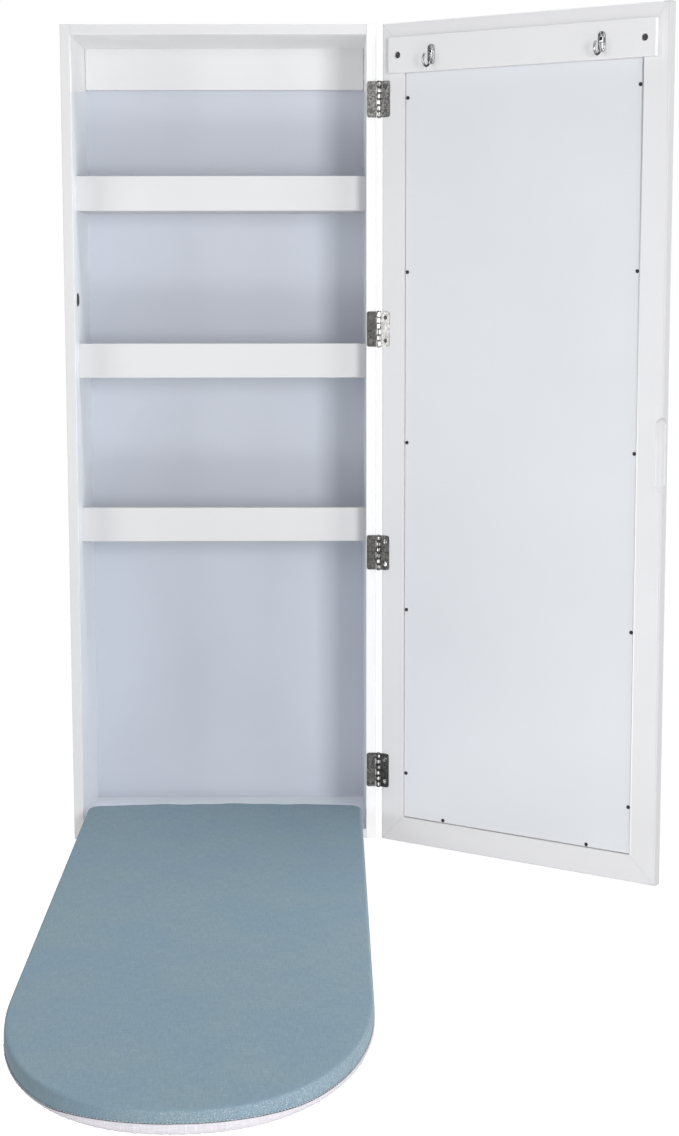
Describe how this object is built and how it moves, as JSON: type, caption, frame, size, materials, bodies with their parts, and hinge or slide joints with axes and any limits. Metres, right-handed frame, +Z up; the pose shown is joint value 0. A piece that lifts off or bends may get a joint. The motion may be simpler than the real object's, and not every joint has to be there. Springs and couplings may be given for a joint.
{
  "type": "ironing board cabinet",
  "caption": "Wall-hung cabinet with a framed mirror door, lipped shelves, coat hooks on the back of the door and an ironing board that folds down from its base.",
  "frame": {"origin": "on the wall, in the plane of the cabinet's back, midway between the entry holes of the two keyhole hangers", "axes": "+Y out of the cabinet's back, into the wall; +Z up; +X to the right as one faces the cabinet"},
  "size_m": [0.7079, 1.1172, 1.0062],
  "materials": {
    "cabinet_paint": "satin white paint",
    "inner_paint": "satin white paint",
    "door_paint": "satin white paint",
    "back_paper": "matt light blue-grey foil on thin board",
    "door_back_paper": "matt pale blue-grey foil on thin board",
    "beech": "bare beech",
    "board_wood": "bare board",
    "nickel": "bright nickel plate",
    "chrome": "polished chrome plate",
    "zinc_steel": "bright zinc plate",
    "screw_steel": "nickel plate",
    "black_screw": "black",
    "black_rubber": "matt",
    "mirror": "silvered",
    "foam": "thin foam sheet",
    "felt": "felt",
    "cover_cloth": "fine teal-grey weave with a slight sheen",
    "hem_cloth": "white gathered edging"
  },
  "bodies": {
    "cabinet": {"side_left": "cabinet_paint", "side_right": "cabinet_paint", "top_panel": "cabinet_paint", "bottom_panel": "cabinet_paint", "hanging_rail": "inner_paint", "shelf_upper": "inner_paint", "shelf_middle": "inner_paint", "shelf_lower": "inner_paint", "lip_upper": "inner_paint", "lip_middle": "inner_paint", "lip_lower": "inner_paint", "board_rest": "inner_paint", "back_panel": "back_paper", "corner_dowels": "beech", "small_dowels": "beech", "back_panel_screws": "screw_steel", "hanger_screws": "screw_steel", "hinge_cabinet_screws": "screw_steel", "board_hinge_base_screws": "screw_steel", "board_bumper_screw": "screw_steel", "hanger_plates": "zinc_steel", "board_hinge_base_left": "zinc_steel", "board_hinge_base_right": "zinc_steel", "board_hinge_pins": "zinc_steel", "board_bumper": "black_rubber", "hinge_1_cabinet_leaf": "nickel", "hinge_1_pin": "nickel", "hinge_2_cabinet_leaf": "nickel", "hinge_2_pin": "nickel", "hinge_3_cabinet_leaf": "nickel", "hinge_3_pin": "nickel", "hinge_4_cabinet_leaf": "nickel", "hinge_4_pin": "nickel"},
    "door": {"door_stile_hinge": "door_paint", "door_stile_free": "door_paint", "door_rail_top": "door_paint", "door_rail_bottom": "door_paint", "mirror_glass": "mirror", "mirror_liner": "foam", "door_back_panel": "door_back_paper", "door_back_screws": "black_screw", "hook_rail": "door_paint", "hook_rail_screws": "screw_steel", "hook_near": "chrome", "hook_far": "chrome", "hook_screws": "chrome", "hinge_1_door_leaf": "nickel", "hinge_2_door_leaf": "nickel", "hinge_3_door_leaf": "nickel", "hinge_4_door_leaf": "nickel", "hinge_door_screws": "screw_steel"},
    "board": {"board_core": "board_wood", "board_pad": "felt", "board_cover": "cover_cloth", "cover_hem": "hem_cloth", "board_hinge_flap_left": "zinc_steel", "board_hinge_flap_right": "zinc_steel", "board_hinge_flap_screws": "screw_steel"}
  },
  "joints": [
    {"name": "door_swing", "type": "hinge", "parent": "cabinet", "child": "door", "pos_m": [0.1939, -0.1765, 0], "axis": [0, 0, 1], "range_deg": [-57, 55]},
    {"name": "board_fold", "type": "hinge", "parent": "cabinet", "child": "board", "pos_m": [0, -0.1625, -0.9475], "axis": [-1, 0, 0], "range_deg": [0, 91.2]}
  ]
}
